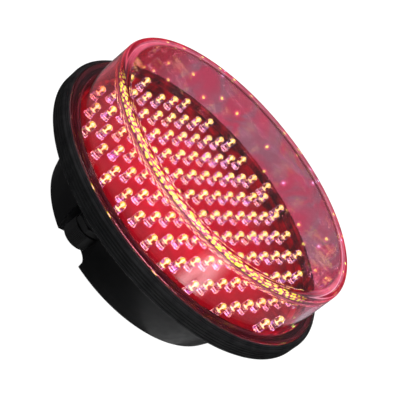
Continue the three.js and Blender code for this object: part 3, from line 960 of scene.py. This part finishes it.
def led_line(node):
    """The LEDs of one CAD row: epoxy, metal, white core and yellow halo."""
    centres, low = led_places(node)
    parts = (
        ("clear", led_clear, clear_epoxy, [node]),
        ("frame", led_frame, lead_metal, []),
        ("core", led_core, led_glow, []),
        ("halo", led_shell, led_halo, []),
    )
    for suffix, build, material, nodes in parts:
        solid = bmesh.new()
        for centre in centres:
            build(solid, centre.x, centre.y, low)
        made = made_object(f"{node}_{suffix}", solid, material, "module", nodes)
        made.visible_diffuse = suffix in ("clear", "frame")


# Cable gland


def gland_centre():
    """The axis of the gland, in millimetres."""
    low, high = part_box("gland_nut")
    return 0, (low.y + high.y) / 2 / MM


NUT_SECTOR = math.radians(60)
FIRST_SECTOR = math.radians(-69)
RIBS = 10
RIB_DEPTH = 0.42
RIB_MARGIN = 0.3  # plain bands at both ends


def nut_ribs(angle, radius, height):
    """Three ribbed sectors with smooth ones between them."""
    if radius < NUT_RADIUS - 1 or height < NUT_LOW + RIB_MARGIN or height > NUT_HIGH - RIB_MARGIN:
        return radius
    turn = (angle - FIRST_SECTOR + NUT_SECTOR / 2) % (2 * NUT_SECTOR)
    if turn > NUT_SECTOR:
        return radius
    groove = abs(math.cos(math.pi * turn / NUT_SECTOR * RIBS))
    return radius - RIB_DEPTH * (1 - groove ** 0.7)


def ribbed_nut():
    """The clamping nut."""
    outline = rounded([
        (CABLE_HOLE, NUT_LOW, 0.4),
        (NUT_RADIUS, NUT_LOW, 0.9),
        (NUT_RADIUS, NUT_HIGH, 0.7),
        (NUT_BORE, NUT_HIGH, 0.3),
        (NUT_BORE, NUT_LOW + NUT_FLOOR, 0.2),
        (CABLE_HOLE, NUT_LOW + NUT_FLOOR, 0.2),
    ], steps=6)
    solid = turned(outline, 720, nut_ribs, gland_centre())
    return made_object("ribbed_nut", solid, black_nylon, "gland_nut", ["gland_nut"])


def hexagon(angle, radius, height):
    """Six flats on the widest part of the gland body."""
    flat = HEXAGON_RADIUS * math.cos(math.pi / 6)
    sector = (angle % (TAU / 6)) - TAU / 12
    return min(radius, flat / math.cos(sector)) if radius > THREAD_RADIUS + 0.9 else radius


def gland_collar():
    """The gland body: ribs for the thread, a hexagon and a neck through the housing."""
    thread = []
    steps = 48
    for i in range(steps + 1):
        rise = THREAD_LENGTH * i / steps
        crest = THREAD_DEPTH * math.cos(TAU * rise / THREAD_PITCH)
        thread.append((THREAD_RADIUS + crest, THREAD_LOW + rise))
    outline = thread + rounded([
        (9.2, 23, 0.1),
        (10.05, 23.5, 0.1),
        (10.05, 26.5, 0.1),
        (9.2, 27, 0.1),
        (6, 27, 0.1),
        (6, 34.6, 0.4),
        (3.9, 34.6, 0.3),
        (3.9, 21, 0.1),
        (5.4, 21, 0.1),
        (5.4, THREAD_LOW, 0.1),
    ], steps=2)
    solid = turned(outline, 144, hexagon, gland_centre())
    return made_object("gland_collar", solid, black_nylon, "module", ["gland_body"])


def gland_ring(name, node, material, body, rounding):
    """A round piece of the gland, from its CAD box and bore."""
    low, high = (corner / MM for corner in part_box(node))
    bore = {"gland_washer": NECK_HOLE, "gland_seal": 3.3, "gland_slip_ring": CABLE_HOLE}[node]
    outer = (high.x - low.x) / 2
    corners = ((bore, low.z), (outer, low.z), (outer, high.z), (bore, high.z))
    outline = rounded([(*corner, rounding) for corner in corners])
    solid = turned(outline, SMALL, None, gland_centre())
    return made_object(name, solid, material, body, [node])


# Pieces

rear_can()
rim_ring()
gasket_ring()
lens_cap()
board_plate()
clamp_ring()
o_ring()
for node in sorted(frame["nodes"]):
    if node.startswith(("led_row_", "led_pair_")):
        led_line(node)
ribbed_nut()
gland_collar()
gland_ring("flat_washer", "gland_washer", black_rubber, "module", 0.3)
gland_ring("cable_seal", "gland_seal", black_rubber, "module", 0.5)
gland_ring("slip_ring", "gland_slip_ring", black_nylon, "gland_thrust_ring", 0.2)

SLOTS = {part["node"]: part["material_slot"] for part in frame["record"]["subparts"]}
for node, carried in sorted(frame["nodes"].items()):
    if carried.hide_render:
        continue
    carried.data.materials.clear()
    carried.data.materials.append(MATERIALS[SLOTS[node]])
    soften(carried, 0.25)


# Studio


def backdrop_strength(tree, low, high, behind):
    """High where it is seen directly, behind where it is seen through clear plastic, low as light."""
    path = tree.nodes.new("ShaderNodeLightPath")
    through = math_node(tree, "GREATER_THAN", path.outputs["Transmission Depth"], 0.5)
    straight = math_node(tree, "LESS_THAN", path.outputs["Diffuse Depth"], 0.5)
    plastic = math_node(tree, "MULTIPLY", math_node(tree, "MULTIPLY", through, straight), behind - low)
    direct = math_node(tree, "MULTIPLY", path.outputs["Is Camera Ray"], high - low)
    return math_node(tree, "ADD", math_node(tree, "ADD", direct, plastic), low)


def floor():
    """A white floor that is clear from below."""
    mesh = bpy.data.meshes.new("studio_floor")
    reach = 6.0
    corners = [(-reach, -reach, 0), (reach, -reach, 0), (reach, reach, 0), (-reach, reach, 0)]
    mesh.from_pydata(corners, [], [(0, 1, 2, 3)])
    made = Surface("floor_white")
    made.feed(
        Base_Color=made.blend(made.noise(3, 2.0), (0.06, 0.06, 0.06), (0.08, 0.08, 0.08)),
        Emission_Strength=backdrop_strength(made.tree, 0.04, 1.03, 0.98),
    )
    made.rough(8, 2.0, 0.85, 0.95)
    made.constants(Emission_Color=(1, 1, 1, 1), Specular_IOR_Level=0.0)
    made.clear_where(made.node("ShaderNodeNewGeometry").outputs["Backfacing"])
    mesh.materials.append(made.material)
    plane = bpy.data.objects.new("studio_floor", mesh)
    plane.location.z = -GAP * MM
    plane.visible_shadow = False  # two lamps under it light the underside
    bpy.context.scene.collection.objects.link(plane)


def lamp(name, place, aim, size, watts):
    """A round lamp that the camera doesn't see."""
    data = bpy.data.lights.new(name, "AREA")
    data.shape = "DISK"
    data.size = size
    data.energy = watts
    made = bpy.data.objects.new(name, data)
    made.location = place
    made.rotation_euler = (Vector(aim) - Vector(place)).to_track_quat("-Z", "Y").to_euler()
    made.visible_camera = False
    bpy.context.scene.collection.objects.link(made)
    return made


def camera():
    """The camera of the photograph, rolled by about 51 degrees."""
    right = Vector((0.46846, 0.53513, 0.70297))
    up = Vector((-0.82463, -0.02071, 0.56530))
    forward = Vector((-0.31707, 0.84451, -0.43159))
    data = bpy.data.cameras.new("camera")
    data.lens = 102.1
    data.sensor_width = 36
    made = bpy.data.objects.new("camera", data)
    made.matrix_world = Matrix((right, up, -forward)).transposed().to_4x4()
    made.location = (0.2231, -0.5905, 0.3559)
    bpy.context.scene.collection.objects.link(made)
    bpy.context.scene.camera = made


def world():
    """A white world."""
    made = bpy.data.worlds.new("studio")
    made.use_nodes = True
    bpy.context.scene.world = made
    sky = made.node_tree.nodes["Background"]
    sky.inputs["Color"].default_value = (1, 1, 1, 1)
    made.node_tree.links.new(backdrop_strength(made.node_tree, 0.06, 1.0, 0.22), sky.inputs["Strength"])


MIDDLE = (0, 0, 0.05)
LOW_MIDDLE = (0, 0, 0.03)
BOUNCE = (0.13, -0.06, 0.002)
GLINT_PLACE = (0.178, -0.135, 0.012)
GLINT_AIM = (0.0626, -0.075, 0.0743)  # on the near wall of the cap
GLINT_SPREAD = 0.015
GLINT_RADII = [0.004 * i for i in range(1, 12)]  # stacked discs: one lamp with a soft edge
GLINT_RADIANCE = 7.0

floor()
world()
camera()
overhead = lamp("overhead_softbox", (0.1, -0.1, 1.3), MIDDLE, 0.9, 28)
overhead.visible_glossy = False  # its mirror image would hide the LEDs from straight above
lamp("side_softbox", (-0.9, -0.9, 0.7), MIDDLE, 0.5, 1.8)
lamp("low_softbox", (0.5, -1.0, 0.08), MIDDLE, 0.4, 1.2)
lamp("under_front", (0.05, -0.5, -0.6), LOW_MIDDLE, 0.6, 1.1)
lamp("under_rear", (0, 0.35, -0.6), LOW_MIDDLE, 0.5, 5)
lamp("floor_bounce", BOUNCE, (BOUNCE[0], BOUNCE[1], 1), 0.14, 0.026)
for radius in GLINT_RADII:
    spread = radius / GLINT_SPREAD
    share = spread * math.exp(-0.5 * spread ** 2)
    watts = GLINT_RADIANCE * share * (math.pi * radius) ** 2
    glint = lamp("wall_glint", GLINT_PLACE, GLINT_AIM, 2 * radius, watts)
    glint.visible_diffuse = False

scene = bpy.context.scene
scene.view_settings.view_transform = "Standard"
scene.cycles.max_bounces = 24
scene.cycles.transmission_bounces = 24
scene.cycles.transparent_max_bounces = 24
